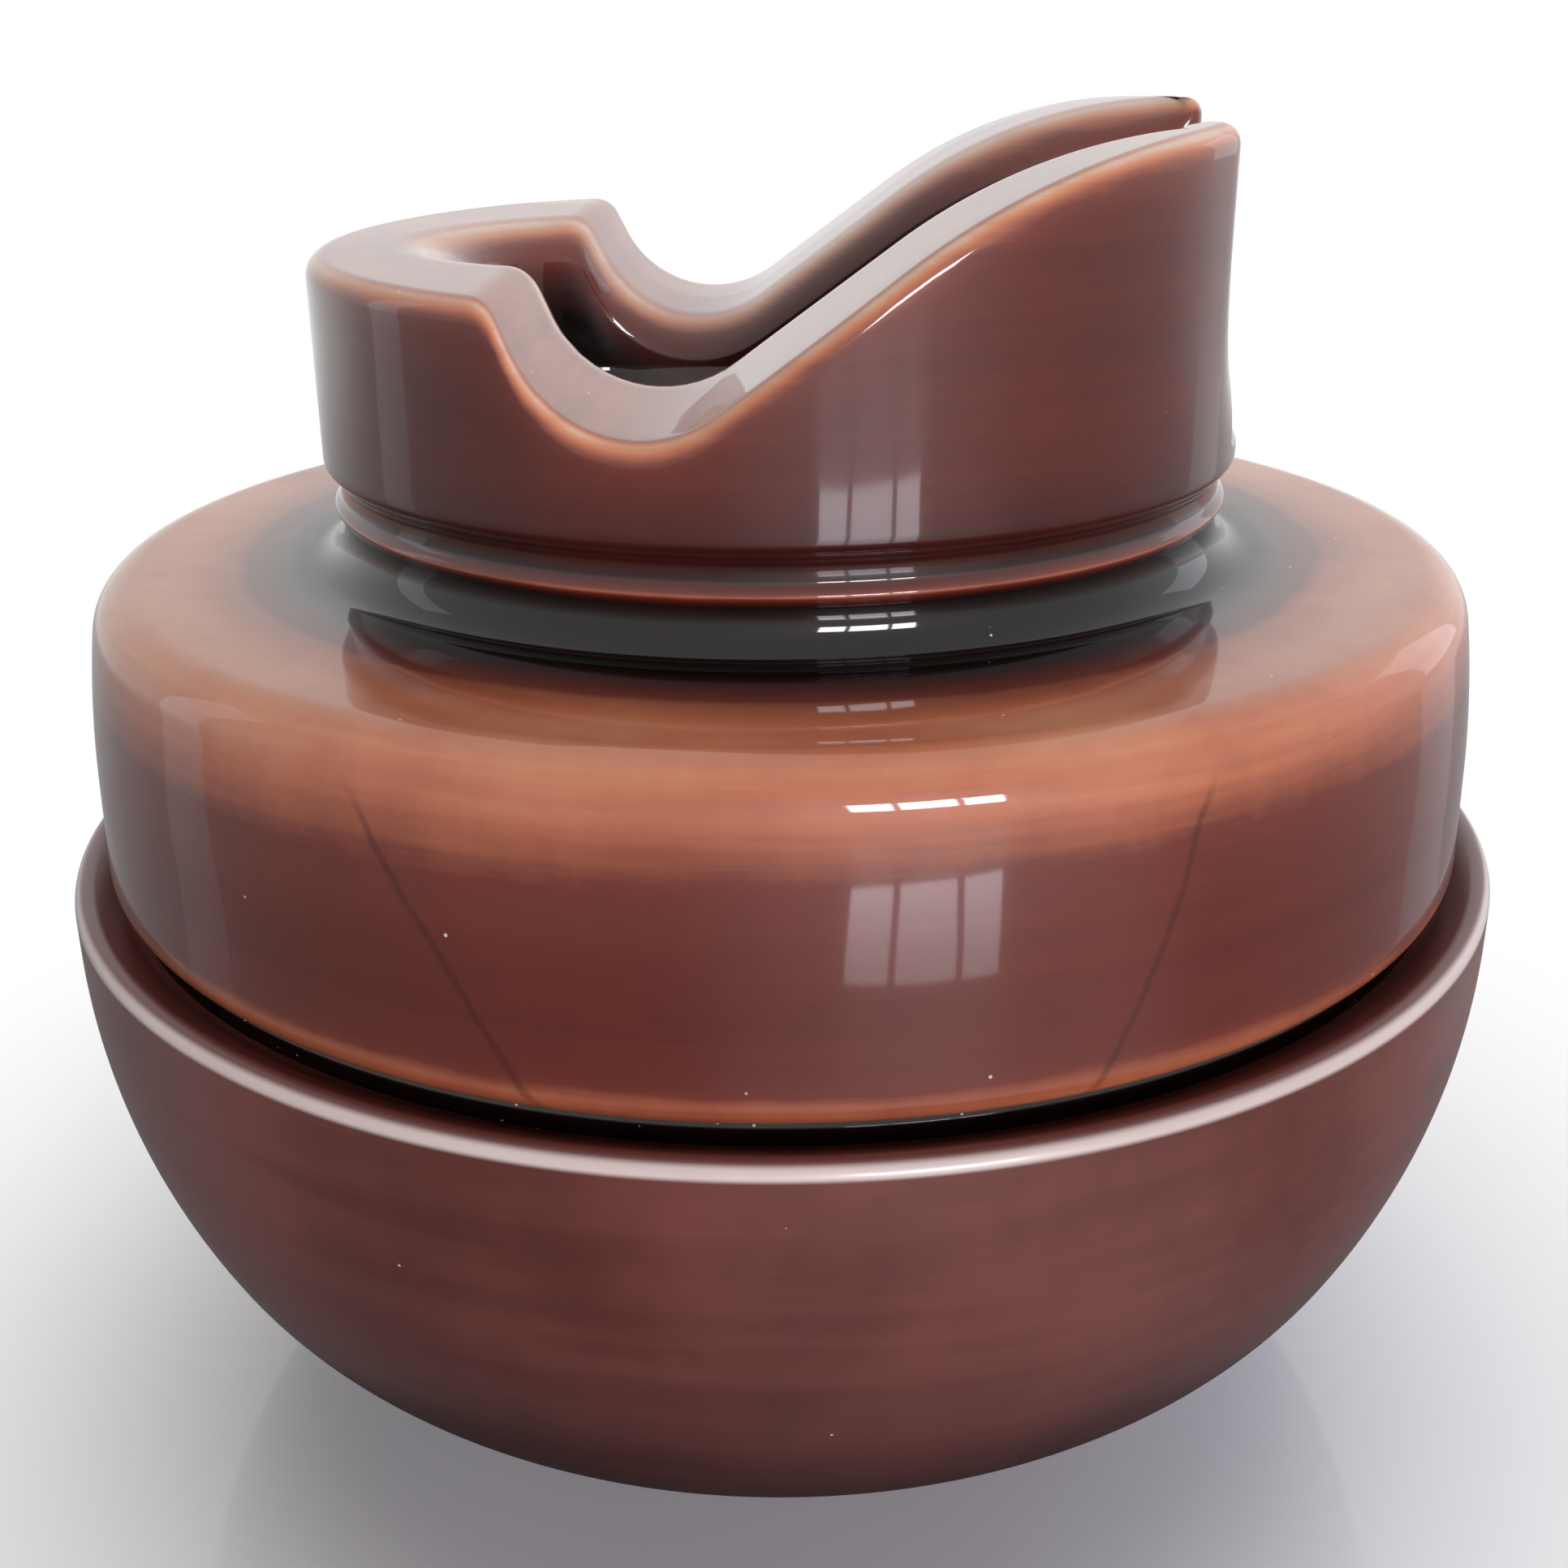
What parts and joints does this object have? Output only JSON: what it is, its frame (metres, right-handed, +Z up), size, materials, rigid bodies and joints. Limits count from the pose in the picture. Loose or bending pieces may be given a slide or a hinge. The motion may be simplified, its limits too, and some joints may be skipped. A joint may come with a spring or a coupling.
{
  "type": "pin insulator",
  "caption": "Glazed porcelain pin insulator: slotted saddle head on a neck and shed, cemented into a bowl-shaped lower shell with a threaded pin hole.",
  "frame": {"origin": "centre of the flat foot ring, where the pin axis meets the foot plane", "axes": "+Z up along the pin, away from the pin hole's mouth; +X along the head's slot, towards its open end; +Y across the slot, along the conductor in the saddle"},
  "size_m": [0.1626, 0.1626, 0.1451],
  "materials": {
    "brown_glaze": "high-gloss brown glazed porcelain",
    "bowl_glaze": "glossy purple-brown glazed porcelain",
    "dark_glaze": "near-black glaze",
    "cement": "matt grey cement",
    "sand": "rough fired-on sand",
    "felt": "dark felt",
    "zinc": "dull cast zinc",
    "cork": "pressed cork"
  },
  "bodies": {
    "root": {"head_shell": "brown_glaze", "bowl_shell": "bowl_glaze", "joint_glaze": "dark_glaze", "shell_cement": "cement", "spigot_sand": "sand", "socket_sand": "sand", "spigot_cushion": "felt", "pin_thimble": "zinc", "thimble_cement": "cement", "hole_sand": "sand", "thimble_disc": "cork"}
  },
  "joints": []
}
